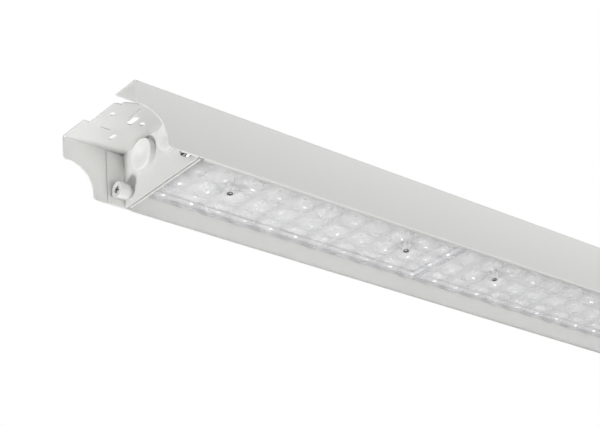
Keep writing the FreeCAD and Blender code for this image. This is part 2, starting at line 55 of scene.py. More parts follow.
MERGE_REACH = 0.002 * MM
BODY = "root"
Colour = tuple[float, float, float, float]
Point = tuple[float, float, float]


def maths(operation: str, other_first: bool = False) -> Callable[..., "Signal"]:
    """A method of Signal that adds one Math node.

    Args:
        operation: The Math node's operation.
        other_first: Whether the other value comes first, as in a reflected form.

    Returns:
        The method, for a signal alone or with another value.
    """
    def method(self: "Signal", *others: "Operand") -> "Signal":
        """The result of the operation."""
        values = (*others, self) if other_first else (self, *others)
        return self.bench.math(operation, *values)

    return method


class Signal:
    """One output socket of a node tree. Arithmetic on it adds Math nodes to that tree.

    A comparison gives one where it holds, else zero.
    """

    def __init__(self, bench: "NodeBench", socket: bpy.types.NodeSocket) -> None:
        """Keep the socket and the bench that new nodes go on."""
        self.bench = bench
        self.socket = socket

    def output(self, name: str) -> "Signal":
        """Another output of the same node."""
        return Signal(self.bench, self.socket.node.outputs[name])

    __add__ = __radd__ = maths("ADD")
    __sub__ = maths("SUBTRACT")
    __rsub__ = maths("SUBTRACT", other_first=True)
    __mul__ = __rmul__ = maths("MULTIPLY")
    __truediv__ = maths("DIVIDE")
    __rtruediv__ = maths("DIVIDE", other_first=True)
    __pow__ = maths("POWER")
    __gt__ = maths("GREATER_THAN")
    __abs__ = maths("ABSOLUTE")
    least = maths("MINIMUM")
    most = maths("MAXIMUM")
    sign = maths("SIGN")
    sine = maths("SINE")
    cosine = maths("COSINE")

    def __neg__(self) -> "Signal":
        """Negative."""
        return self * -1.0

    def within(self, reach: float) -> "Signal":
        """This, held between minus reach and plus reach."""
        return self.least(reach).most(-reach)


Operand = Signal | float


class NodeBench:
    """Adds nodes to one node tree."""

    def __init__(self, tree: bpy.types.NodeTree) -> None:
        """Keep the tree."""
        self.tree = tree

    def add(self, kind: str, settings: dict | None = None, sockets: dict | None = None) -> Signal:
        """Add one node.

        Args:
            kind: The node's type name.
            settings: Properties of the node, set before its sockets.
            sockets: Values or links by input name, or by index where names repeat. A list links several.

        Returns:
            The node's first output in use.
        """
        node = self.tree.nodes.new(kind)
        for key, value in (settings or {}).items():
            setattr(node, key, value)
        for key, value in (sockets or {}).items():
            self._feed(self._input(node, key), value)
        outputs = [socket for socket in node.outputs if socket.enabled]
        return Signal(self, outputs[0] if outputs else None)

    @staticmethod
    def _input(node: bpy.types.Node, key: str | int) -> bpy.types.NodeSocket:
        """The input in use that has this name or index."""
        if isinstance(key, int):
            return node.inputs[key]
        return next(socket for socket in node.inputs if socket.name == key and socket.enabled)

    def _feed(self, socket: bpy.types.NodeSocket, value: object) -> None:
        """Link a signal, or several, to an input, or set its plain value."""
        if isinstance(value, Signal):
            self.tree.links.new(value.socket, socket)
        elif isinstance(value, list):
            for one in value:
                self._feed(socket, one)
        else:
            socket.default_value = value

    def math(self, operation: str, *values: Operand) -> Signal:
        """A Math node on one, two or three values."""
        return self.add("ShaderNodeMath", {"operation": operation}, dict(enumerate(values)))

    def vector(self, x: Operand, y: Operand, z: Operand) -> Signal:
        """A vector from three values."""
        return self.add("ShaderNodeCombineXYZ", {}, {"X": x, "Y": y, "Z": z})

    def scaled(self, vector: Signal, factor: Operand) -> Signal:
        """A vector times a value."""
        return self.add("ShaderNodeVectorMath", {"operation": "SCALE"}, {0: vector, "Scale": factor})

    def sum(self, first: Signal, second: Signal) -> Signal:
        """The sum of two vectors."""
        return self.add("ShaderNodeVectorMath", {"operation": "ADD"}, {0: first, 1: second})

    def parts(self, vector: Signal) -> tuple[Signal, ...]:
        """X, Y and Z of a vector."""
        split = self.add("ShaderNodeSeparateXYZ", {}, {0: vector})
        return tuple(split.output(axis) for axis in "XYZ")


class ShaderBench(NodeBench):
    """Builds one material."""

    def __init__(self, name: str) -> None:
        """Start an empty material."""
        self.material = bpy.data.materials.new(name)
        self.material.use_nodes = True
        self.material.node_tree.nodes.clear()
        super().__init__(self.material.node_tree)
        self.place = self.add("ShaderNodeTexCoord").output("Object")

    def noise(self, scale: float, detail: float = 2.0) -> Signal:
        """Soft noise from 0 to 1, with this many cells to the metre."""
        return self.add("ShaderNodeTexNoise", {}, {"Vector": self.place, "Scale": scale, "Detail": detail})

    def tint(self, share: Operand, first: Colour, second: Colour) -> Signal:
        """A colour between two, by a share from 0 to 1."""
        return self.add("ShaderNodeMix", {"data_type": "RGBA"}, {"Factor": share, "A": first, "B": second})

    def bump(self, height: Signal, depth: float, strength: float = 1.0) -> Signal:
        """A normal from a height field of this depth in metres."""
        return self.add("ShaderNodeBump", {}, {"Height": height, "Distance": depth, "Strength": strength})

    def surface(self, sockets: dict) -> bpy.types.Material:
        """End the material in one Principled surface.

        Args:
            sockets: Values or links of the Principled node.

        Returns:
            The finished material.
        """
        shader = self.add("ShaderNodeBsdfPrincipled", {}, sockets)
        self.add("ShaderNodeOutputMaterial", {}, {"Surface": shader})
        return self.material


class GeometryBench(NodeBench):
    """Builds one Geometry Nodes tree with named inputs, and makes plain meshes with it."""

    def __init__(self, name: str) -> None:
        """Start a tree with a mesh in and a mesh out."""
        super().__init__(bpy.data.node_groups.new(name, "GeometryNodeTree"))
        self.tree.interface.new_socket("Geometry", in_out="INPUT", socket_type="NodeSocketGeometry")
        self.tree.interface.new_socket("Geometry", in_out="OUTPUT", socket_type="NodeSocketGeometry")
        self.inlet = self.tree.nodes.new("NodeGroupInput")
        self.inputs: dict[str, tuple[str, object]] = {}

    def size(self, name: str, value: float | int | Vector) -> Signal:
        """A named input of the tree.

        Args:
            name: The input's name.
            value: Its usual value, which also gives its kind.

        Returns:
            The input as a signal.
        """
        kinds = {int: "NodeSocketInt", float: "NodeSocketFloat", Vector: "NodeSocketVector"}
        item = self.tree.interface.new_socket(name, in_out="INPUT", socket_type=kinds[type(value)])
        self.inputs[name] = (item.identifier, value)
        return Signal(self, self.inlet.outputs[name])

    @property
    def source(self) -> Signal:
        """The mesh that goes into the tree."""
        return Signal(self, self.inlet.outputs["Geometry"])

    def moved(self, mesh: Signal, place: Signal) -> Signal:
        """A mesh shifted by a vector."""
        return self.add("GeometryNodeTransform", {}, {"Geometry": mesh, "Translation": place})

    def raised(self, mesh: Signal, level: Operand) -> Signal:
        """A mesh shifted along Z."""
        return self.moved(mesh, self.vector(0.0, 0.0, level))

    def spot(self) -> tuple[Signal, ...]:
        """X, Y and Z of each point of a mesh."""
        return self.parts(self.add("GeometryNodeInputPosition"))

    def reshaped(self, mesh: Signal, place: Signal) -> Signal:
        """A mesh with each point at a new place."""
        return self.add("GeometryNodeSetPosition", {}, {"Geometry": mesh, "Position": place})

    def joined(self, *meshes: Signal) -> Signal:
        """Several meshes as one."""
        return self.add("GeometryNodeJoinGeometry", {}, {"Geometry": list(meshes)})

    def merged(self, mesh: Signal, distance: float = 0.01 * MM) -> Signal:
        """A mesh with its doubles merged."""
        return self.add("GeometryNodeMergeByDistance", {}, {"Geometry": mesh, "Distance": distance})

    def united(self, *meshes: Signal) -> Signal:
        """The union of closed meshes."""
        return self.add("GeometryNodeMeshBoolean", {"operation": "UNION", "solver": "MANIFOLD"},
                        {1: list(meshes)})

    def carved(self, mesh: Signal, *tools: Signal) -> Signal:
        """A closed mesh with others cut out of it."""
        return self.add("GeometryNodeMeshBoolean", {"operation": "DIFFERENCE", "solver": "MANIFOLD"},
                        {0: mesh, 1: list(tools)})

    def instances(self, points: Signal, shape: Signal, rotation: Signal | None = None) -> Signal:
        """Copies of a shape on points, turned by a rotation where one is given."""
        sockets = {"Points": points, "Instance": shape}
        if rotation is not None:
            sockets["Rotation"] = rotation
        return self.add("GeometryNodeInstanceOnPoints", {}, sockets)

    def real(self, mesh: Signal) -> Signal:
        """A mesh with its copies made real."""
        return self.add("GeometryNodeRealizeInstances", {}, {"Geometry": mesh})

    def painted(self, mesh: Signal, material: bpy.types.Material) -> Signal:
        """A mesh with its copies made real and one material set."""
        return self.add("GeometryNodeSetMaterial", {}, {"Geometry": self.real(mesh), "Material": material})

    def deliver(self, mesh: Signal) -> None:
        """End the tree in this mesh."""
        self.add("NodeGroupOutput", {}, {"Geometry": mesh})

    def make(self, name: str, points: list[Point] | None = None, **changes: float) -> bpy.types.Object:
        """Run the tree once and keep its result as a plain mesh.

        Args:
            name: The new piece's name.
            points: Points that go into the tree, where it needs some.
            changes: Inputs that differ from their usual value, by name with _ for a space.

        Returns:
            A piece at the origin with no modifier.
        """
        seed = bpy.data.meshes.new(name)
        seed.from_pydata(points or [], [], [])
        piece = linked(name, seed)
        modifier = piece.modifiers.new(name, "NODES")
        modifier.node_group = self.tree
        given = {key.replace("_", " "): value for key, value in changes.items()}
        for key, (identifier, usual) in self.inputs.items():
            modifier[identifier] = given.get(key, usual)
        piece.data = plain_mesh(piece)
        piece.modifiers.clear()
        bpy.data.meshes.remove(seed)
        return piece


def linked(name: str, data: bpy.types.ID) -> bpy.types.Object:
    """A new object in the scene that shows a mesh, lamp or camera."""
    piece = bpy.data.objects.new(name, data)
    bpy.context.scene.collection.objects.link(piece)
    return piece


def plain_mesh(piece: bpy.types.Object) -> bpy.types.Mesh:
    """The mesh of a piece with its modifiers worked in."""
    bpy.context.view_layer.update()
    depsgraph = bpy.context.evaluated_depsgraph_get()
    return bpy.data.meshes.new_from_object(piece.evaluated_get(depsgraph))


def tidy_mesh(mesh: bpy.types.Mesh, sharp_angle: float = 35.0) -> None:
    """Merge doubles, turn faces outwards and smooth all but the sharp edges.

    Args:
        mesh: The mesh, changed in place.
        sharp_angle: Edges that turn by more than this many degrees stay sharp.
    """
    work = bmesh.new()
    work.from_mesh(mesh)
    bmesh.ops.remove_doubles(work, verts=work.verts, dist=MERGE_REACH)
    bmesh.ops.recalc_face_normals(work, faces=work.faces)
    work.to_mesh(mesh)
    work.free()
    mesh.shade_smooth()
    mesh.set_sharp_from_angle(angle=math.radians(sharp_angle))


def set_down(piece: bpy.types.Object, slot: str, *nodes: str) -> bpy.types.Object:
    """Let a finished piece ride on the batten and stand for CAD nodes.

    Args:
        piece: The finished piece.
        slot: The record's material slot; not used.
        nodes: The CAD nodes that it stands for.

    Returns:
        The same piece.
    """
    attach(piece, BODY)
    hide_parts(*nodes)
    LOG.info("%s stands for %s with %d faces", piece.name, ", ".join(nodes), len(piece.data.polygons))
    return piece


def dress(node: str, material: bpy.types.Material) -> None:
    """Give every material slot of a CAD node one finish."""
    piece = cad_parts[node]
    if not piece.material_slots:
        piece.data.materials.append(material)
    for holder in piece.material_slots:
        holder.material = material
    LOG.info("%s wears %s", node, material.name)


class Outward(Enum):
    """A way out from the middle of the batten; the value is its sign."""

    @property
    def word(self) -> str:
        """The name as CAD nodes spell it."""
        return self.name.lower()


class End(Outward):
    """The two ends of the batten, along X."""

    LEFT = -1
    RIGHT = 1


class Side(Outward):
    """The two long sides of the batten, along Y."""

    NEAR = -1
    FAR = 1


def outer_middle(node: str, end: End) -> Vector:
    """Middle of the face of a CAD node's box that looks out of an end."""
    low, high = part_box(node)
    outer_x = low.x if end is End.LEFT else high.x
    return Vector((outer_x, (low.y + high.y) / 2, (low.z + high.z) / 2))


@dataclass(frozen=True)
class Finish:
    """A finish with one colour that varies a little over the surface."""

    name: str
    colour: Colour
    shade: Colour
    roughness: float = 0.5
    roughness_swing: float = 0.08
    cloud_scale: float = 9.0
    grain_scale: float = 900.0
    grain_depth: float = 0.02 * MM
    grain_strength: float = 0.5
    metallic: float = 0.0

    def material(self) -> bpy.types.Material:
        """The finish as a material, made once."""
        return bpy.data.materials.get(self.name) or self.build()

    def tone(self, bench: ShaderBench, clouds: Signal) -> Signal:
        """The base colour, between the two shades of the finish."""
        return bench.tint(clouds, self.shade, self.colour)

    def build(self) -> bpy.types.Material:
        """Colour clouds, uneven roughness and a fine grain.

        Returns:
            The new material.
        """
        bench = ShaderBench(self.name)
        clouds = bench.noise(self.cloud_scale, detail=3.0)
        grain = bench.noise(self.grain_scale)
        return bench.surface({
            "Base Color": self.tone(bench, clouds),
            "Roughness": self.roughness + (grain - 0.5) * self.roughness_swing,
            "Metallic": self.metallic,
            "Normal": bench.bump(grain, self.grain_depth, self.grain_strength),
        })


@dataclass(frozen=True)
class LipShadedCoat(Finish):
    """Powder coat with painted shade, a greyer tone, below the housing's turned lips, tuned to the
    photograph.
    """

    lip_z: float = -46.0 * MM
    lip_shade_colour: Colour = (0.50, 0.50, 0.487, 1.0)

    def tone(self, bench: ShaderBench, clouds: Signal) -> Signal:
        """The base colour, with painted shade on the lips below their level."""
        _, _, z = bench.parts(bench.place)
        # Below lip_z the colour is painted shade.
        return bench.tint(z > self.lip_z, self.lip_shade_colour, super().tone(bench, clouds))


@dataclass(frozen=True)
class GlintSpeckledCoat(Finish):
    """Dark coat with bright specks of painted highlight, tuned to the photograph."""

    glint_colour: Colour = (0.82, 0.82, 0.81, 1.0)
    glint_from: float = 0.55

    def tone(self, bench: ShaderBench, clouds: Signal) -> Signal:
        """The base colour, with painted highlights of bright metal where the clouds are thickest."""
        # The bright specks are painted highlights.
        return bench.tint(clouds > self.glint_from, super().tone(bench, clouds), self.glint_colour)


@dataclass(frozen=True)
class ClearAcrylic(Finish):
    """Clear moulded acrylic with a patchy haze, thicker at the bosses.

    The board side is nearly clear, and opaque within seat_width of a plate's edges and ends.
    """

    index: float = 1.49
    cover: float = 0.22
    patch_scale: float = 110.0
    patch_swing: float = 0.5
    edge_cover: float = 1.0
    seat_width: float = 7.6 * MM
    half_width: float = 43.6 * MM
    boss_cover: float = 0.3
    boss_radius: float = 5.8 * MM
    boss_reach: float = 90.125 * MM
    plate_pitch: float = 283.25 * MM
    face_z: float = -29.4 * MM
    inner_cover: float = 0.12

    def build(self) -> bpy.types.Material:
        """Clear body with a trace of unevenness from the mould.

        Returns:
            The new material.
        """
        bench = ShaderBench(self.name)
        clouds = bench.noise(self.cloud_scale)
        grain = bench.noise(self.grain_scale, detail=1.0)
        x, y, z = bench.parts(bench.place)
        patches = (bench.noise(self.patch_scale, detail=1.0) - 0.5) * self.patch_swing
        plate_x = bench.math("FLOORED_MODULO", x, self.plate_pitch)
        along, across = abs(plate_x - self.plate_pitch / 2), abs(y)
        past = along - self.boss_reach
        away = past * past + across * across
        haze = (self.cover + patches).most((1.0 - (away > self.boss_radius ** 2)) * self.boss_cover)
        seat = (across - self.half_width).most(along - self.plate_pitch / 2) > -self.seat_width
        inner = self.inner_cover + seat * (self.edge_cover - self.inner_cover)
        inside = z > self.face_z
        return bench.surface({
            "Base Color": bench.tint(clouds, self.shade, self.colour),
            "Roughness": self.roughness + clouds * self.roughness_swing,
            "IOR": self.index,
            "Alpha": haze + inside * (inner - haze),
            "Normal": bench.bump(grain, self.grain_depth, self.grain_strength),
        })


@dataclass(frozen=True)
class BoardMask(Finish):
    """White solder mask over copper fields that stand out a little."""

    pitch_x: float = 25.75 * MM
    pitch_y: float = 20.7 * MM
    groove: float = 0.9 * MM
    groove_colour: Colour = (0.76, 0.76, 0.765, 1.0)

    def build(self) -> bpy.types.Material:
        """Mask colour with thin grooves between the copper fields.

        Returns:
            The new material.
        """
        bench = ShaderBench(self.name)
        clouds = bench.noise(self.cloud_scale)
        fields = bench.add("ShaderNodeTexBrick", {"offset": 0.5}, {
            "Vector": bench.place,
            "Scale": 1.0,
            "Mortar Size": self.groove / 2,
            "Mortar Smooth": 0.2,
            "Brick Width": self.pitch_x,
            "Row Height": self.pitch_y / 2,
        })
        plain = bench.tint(clouds, self.shade, self.colour)
        return bench.surface({
            "Base Color": bench.tint(fields.output("Fac"), plain, self.groove_colour),
            "Roughness": self.roughness + (clouds - 0.5) * self.roughness_swing,
            "Normal": bench.bump(1.0 - fields.output("Fac"), self.grain_depth, self.grain_strength),
        })


# The greyer tone this coat gives the housing's lips is painted shade.
POWDER_COAT = LipShadedCoat("powder_coat", (0.74, 0.74, 0.725, 1.0), (0.72, 0.72, 0.705, 1.0), roughness=0.44,
                         grain_scale=620.0, grain_depth=0.03 * MM, grain_strength=0.35)
MOULDED_WHITE = Finish("moulded_white", (0.81, 0.81, 0.795, 1.0), (0.79, 0.79, 0.775, 1.0), roughness=0.38,
                       cloud_scale=60.0, grain_scale=2600.0, grain_depth=0.01 * MM)
KNOB_WHITE = Finish("knob_white", (0.68, 0.68, 0.665, 1.0), (0.66, 0.66, 0.645, 1.0), roughness=0.4,
                    cloud_scale=60.0, grain_scale=2600.0, grain_depth=0.01 * MM)
BLACK_OXIDE = Finish("black_oxide", (0.11, 0.11, 0.115, 1.0), (0.05, 0.05, 0.055, 1.0), roughness=0.34,
                     roughness_swing=0.2, cloud_scale=700.0, grain_scale=2200.0, metallic=0.9)
# Its bright specks are painted highlights.
GLINT_SPECKLED_OXIDE = GlintSpeckledCoat("glint_speckled_oxide", (0.09, 0.09, 0.095, 1.0), (0.04, 0.04, 0.045, 1.0), roughness=0.34,
                      roughness_swing=0.2, cloud_scale=420.0, grain_scale=2200.0, metallic=0.9)
ZINC_PLATE = Finish("zinc_plate", (0.70, 0.70, 0.69, 1.0), (0.58, 0.58, 0.575, 1.0), roughness=0.3,
                    roughness_swing=0.2, cloud_scale=400.0, grain_scale=1800.0, metallic=1.0)
CLEAR_ACRYLIC = ClearAcrylic("clear_acrylic", (0.85, 0.85, 0.86, 1.0), (0.80, 0.80, 0.815, 1.0),
                             roughness=0.1, roughness_swing=0.06, cloud_scale=90.0, grain_scale=160.0,
                             grain_depth=0.02 * MM, grain_strength=0.3)
SOLDER_MASK = BoardMask("solder_mask", (0.86, 0.86, 0.86, 1.0), (0.83, 0.83, 0.83, 1.0), roughness=0.35)
CHIP_BODY = Finish("chip_body", (0.88, 0.88, 0.87, 1.0), (0.84, 0.84, 0.83, 1.0), roughness=0.4,
                   cloud_scale=500.0)
PHOSPHOR = Finish("phosphor", (0.90, 0.88, 0.76, 1.0), (0.87, 0.84, 0.70, 1.0), roughness=0.3,
                  cloud_scale=1500.0)
NATURAL_PLASTIC = Finish("natural_plastic", (0.80, 0.79, 0.75, 1.0), (0.76, 0.75, 0.71, 1.0), roughness=0.45,
                         cloud_scale=120.0, grain_scale=2400.0)
DRIVER_CASE = Finish("driver_case", (0.76, 0.76, 0.74, 1.0), (0.73, 0.73, 0.71, 1.0), roughness=0.5,
                     cloud_scale=30.0, grain_scale=2000.0, grain_depth=0.03 * MM)


def insulation(name: str, colour: Colour, shade_share: float = 0.85) -> Finish:
    """Soft lead insulation of one colour."""
    shade = tuple(shade_share * part for part in colour[:3]) + (1.0,)
    return Finish(name, colour, shade, roughness=0.52, cloud_scale=300.0, grain_scale=3000.0)


@dataclass
class SheetMetal:
    """Housing, LED tray and end plates: folded sheets with one paint and softened edges.

    Faces narrower than strip_width are shaded smooth, as bends and edges, and the wide ones flat.
    """

    edge: float = 0.16 * MM
    edge_steps: int = 2
    least_edge: float = 1.5 * MM
    sharp_angle: float = 30.0
    flat_angle: float = 0.5
    strip_width: float = 0.8 * MM
    finish: Finish = POWDER_COAT

    def softened(self, node: str) -> bpy.types.Object:
        """A merged copy of a folded sheet with its cut edges rounded as paint rounds them.

        Args:
            node: The CAD node to copy.

        Returns:
            The new piece.
        """
        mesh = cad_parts[node].data.copy()
        mesh.name = f"{node}_sheet"
        mesh.attributes.remove(mesh.attributes["custom_normal"])
        work = bmesh.new()
        work.from_mesh(mesh)
        bmesh.ops.remove_doubles(work, verts=work.verts, dist=MERGE_REACH)
        bmesh.ops.dissolve_limit(work, angle_limit=math.radians(self.flat_angle), verts=work.verts,
                                 edges=work.edges)
        limit = math.radians(self.sharp_angle)
        edges = [edge for edge in work.edges if edge.is_manifold and edge.calc_face_angle() > limit
                 and edge.calc_length() > self.least_edge]
        bmesh.ops.bevel(work, geom=edges, offset=self.edge, segments=self.edge_steps, profile=0.5,
                        affect="EDGES", clamp_overlap=False)
        narrow = [face.calc_area() < self.strip_width * max(edge.calc_length() for edge in face.edges)
                  for face in work.faces]
        work.to_mesh(mesh)
        work.free()
        mesh.set_sharp_from_angle(angle=limit)
        mesh.polygons.foreach_set("use_smooth", narrow)
        mesh.materials.clear()
        mesh.materials.append(self.finish.material())
        return linked(f"{node}_sheet", mesh)

    def build(self) -> None:
        """Make and place every painted sheet."""
        nodes = ["housing_channel", "led_tray"] + [f"end_plate_{end.word}" for end in End]
        for node in nodes:
            set_down(self.softened(node), "white_paint", node)


@dataclass
class LensStrip:
    """Clear lens plates with rows of lenses and raised seats for their screws."""

    columns: int = 11
    rows: int = 4
    count: int = 4
    side_margin: float = 2.2 * MM
    plate_gap: float = 0.6 * MM
    base: float = 2.0 * MM
    rim_width: float = 1.6 * MM
    rim_height: float = 1.0 * MM
    lens_gap: float = 0.9 * MM
    lens_height: float = 6.2 * MM
    rings: int = 8
    columns_to_screw: int = 2
    boss_radius: float = 4.6 * MM
    boss_foot: float = 5.6 * MM
    boss_height: float = 5.2 * MM
    boss_root: float = 0.6 * MM
    pad_radius: float = 4.0 * MM
    hole_radius: float = 1.7 * MM
    round_steps: int = 40
    near_edge: float = 0.1 * MM
    count_tolerance: float = 0.1

    def __post_init__(self) -> None:
        """Take the plate's place and pitch from the frame."""
        low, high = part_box("lens_plate_1")
        self.length = high.x - low.x
        self.half_width = high.y
        self.face_z = high.z - self.base - self.rim_height
        self.pitch_x = (self.length + self.plate_gap) / self.columns
        self.pitch_y = 2 * (self.half_width - self.side_margin) / self.rows
        self.lens_radius = (self.pitch_y - self.lens_gap) / 2
        self.screw_reach = (self.columns / 2 - self.columns_to_screw) * self.pitch_x

    def plate_middle(self, index: int) -> float:
        """X of the middle of a plate."""
        low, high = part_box(f"lens_plate_{index}")
        return (low.x + high.x) / 2

    def lens_places(self, index: int) -> list[tuple[float, float]]:
        """X and Y of every lens of a plate."""
        first_x = self.plate_middle(index) - (self.columns - 1) * self.pitch_x / 2
        first_y = -(self.rows - 1) * self.pitch_y / 2
        return [(first_x + column * self.pitch_x, first_y + row * self.pitch_y)
                for column in range(self.columns) for row in range(self.rows)]

    def screw_places(self, index: int) -> list[float]:
        """X of both screws of a plate."""
        return [self.plate_middle(index) + reach for reach in (-self.screw_reach, self.screw_reach)]

    def lens_tile(self, bench: GeometryBench) -> Signal:
        """One cell of the lower face: a round dome that runs out into a flat oblong.

        Args:
            bench: The tree to build on.

        Returns:
            The cell as a mesh, its flat part at zero height.
        """
        pitch_x = bench.size("Lens Pitch X", self.pitch_x)
        pitch_y = bench.size("Lens Pitch Y", self.pitch_y)
        radius = bench.size("Lens Radius", self.lens_radius)
        height = bench.size("Lens Height", self.lens_height)
        corners = 2 * self.rings + 1
        grid = bench.add("GeometryNodeMeshGrid", {}, {"Size X": 2.0, "Size Y": 2.0, "Vertices X": corners,
                                                      "Vertices Y": corners})
        u, v, _ = bench.spot()
        ring = abs(u).most(abs(v))
        dome_share = (self.rings - 1) / self.rings
        turn = (ring / dome_share).least(1.0) * (math.pi / 2)
        border = ((ring - dome_share) / (1.0 - dome_share)).most(0.0)
        oblong = bench.vector(u * pitch_x / 2, v * pitch_y / 2, 0.0)
        outward = bench.add("ShaderNodeVectorMath", {"operation": "NORMALIZE"}, {0: oblong})
        dome = bench.scaled(outward, radius * turn.sine() * (1.0 - border))
        flat = bench.scaled(oblong, border / ring)
        level = bench.vector(0.0, 0.0, -(height * turn.cosine()))
        place = bench.sum(bench.sum(dome, flat), level)
        return bench.reshaped(grid, place)

    def lens_field(self, bench: GeometryBench) -> Signal:
        """All cells of one plate, trimmed to the plate's outline.

        Args:
            bench: The tree to build on.

        Returns:
            The plate's whole lower face.
        """
        columns, rows = self.columns, self.rows
        points = bench.add("GeometryNodeMeshGrid", {}, {
            "Size X": (columns - 1) * self.pitch_x, "Size Y": (rows - 1) * self.pitch_y,
            "Vertices X": columns, "Vertices Y": rows})
        cells = bench.merged(bench.real(bench.instances(points, self.lens_tile(bench))))
        x, y, z = bench.spot()
        outermost = abs(y) > rows * self.pitch_y / 2 - self.near_edge
        edge_y = y + outermost * (y.sign() * self.half_width - y)
        return bench.reshaped(cells, bench.vector(x.within(self.length / 2), edge_y, z))

    def drawn_edge(self, bench: GeometryBench, mesh: Signal, chosen: Signal, rise: float) -> Signal:
        """Edges of a mesh drawn up or down into a wall.

        Args:
            bench: The tree to build on.
            mesh: The mesh.
            chosen: Selection of its edges.
            rise: How far up the new wall goes.

        Returns:
            The longer mesh; its Top output selects the new edges.
        """
        return bench.add("GeometryNodeExtrudeMesh", {"mode": "EDGES"}, {
            "Mesh": mesh, "Selection": chosen, "Offset": bench.vector(0.0, 0.0, 1.0), "Offset Scale": rise})

    def closed_plate(self, bench: GeometryBench) -> Signal:
        """The lower face with walls, a seating rim and a pocket for the LED chips behind it.

        Args:
            bench: The tree to build on.

        Returns:
            One closed mesh.
        """
        lower = bench.add("GeometryNodeFlipFaces", {}, {"Mesh": self.lens_field(bench)})
        faces = bench.add("GeometryNodeInputMeshEdgeNeighbors")
        open_edge = bench.math("COMPARE", faces, 1.0, self.count_tolerance)
        wall = self.drawn_edge(bench, lower, open_edge, self.base + self.rim_height)
        rim = self.drawn_edge(bench, wall, wall.output("Top"), 0.0)
        x, y, z = bench.spot()
        inner = bench.vector(x.within(self.length / 2 - self.rim_width),
                             y.within(self.half_width - self.rim_width), z)
        drawn_in = bench.add("GeometryNodeSetPosition", {}, {
            "Geometry": rim, "Selection": rim.output("Top"), "Position": inner})
        pocket = self.drawn_edge(bench, drawn_in, rim.output("Top"), -self.rim_height)
        outline = bench.add("GeometryNodeMeshToCurve", {}, {
            "Mesh": pocket, "Selection": pocket.output("Top")})
        floor = bench.raised(bench.add("GeometryNodeFillCurve", {}, {"Curve": outline}), self.base)
        return bench.merged(bench.joined(pocket, floor))

    def round_post(self, bench: GeometryBench, low: float, high: float, low_radius: float,
                   high_radius: float) -> Signal:
        """A round post, straight or tapered, at both screw places of a plate.

        Args:
            bench: The tree to build on.
            low: Level of its lower end over the plate's lower face.
            high: Level of its upper end.
            low_radius: Radius at the lower end.
            high_radius: Radius at the upper end.

        Returns:
            Both posts as one mesh.
        """
        cone = bench.add("GeometryNodeMeshCone", {}, {
            "Vertices": self.round_steps, "Radius Top": high_radius, "Radius Bottom": low_radius,
            "Depth": high - low})
        reaches = (-self.screw_reach, self.screw_reach)
        return bench.joined(*[bench.moved(cone, bench.vector(reach, 0.0, low)) for reach in reaches])

    def plate_tree(self) -> GeometryBench:
        """The tree of one lens plate.

        Returns:
            A bench whose Middle X input places the plate.
        """
        bench = GeometryBench("lens_plate")
        middle = bench.size("Middle X", 0.0)
        top = self.base + self.rim_height
        boss = self.round_post(bench, -self.boss_height, self.boss_root, self.boss_radius, self.boss_foot)
        pad = self.round_post(bench, self.boss_root, top, self.pad_radius, self.pad_radius)
        hole = self.round_post(bench, -2 * self.boss_height, 2 * top, self.hole_radius, self.hole_radius)
        solid = bench.carved(bench.united(self.closed_plate(bench), boss, pad), hole)
        placed = bench.moved(solid, bench.vector(middle, 0.0, self.face_z))
        bench.deliver(bench.painted(placed, CLEAR_ACRYLIC.material()))
        return bench

    def build(self) -> None:
        """Make and place every lens plate."""
        bench = self.plate_tree()
        for index in range(1, self.count + 1):
            piece = bench.make(f"clear_lens_strip_{index}", Middle_X=self.plate_middle(index))
            tidy_mesh(piece.data)
            set_down(piece, "clear_lens", f"lens_plate_{index}")


@dataclass(frozen=True)
class CrossRecess:
    """Sizes of a cross recess."""

    length: float = 3.4 * MM
    width: float = 0.9 * MM
    depth: float = 1.2 * MM


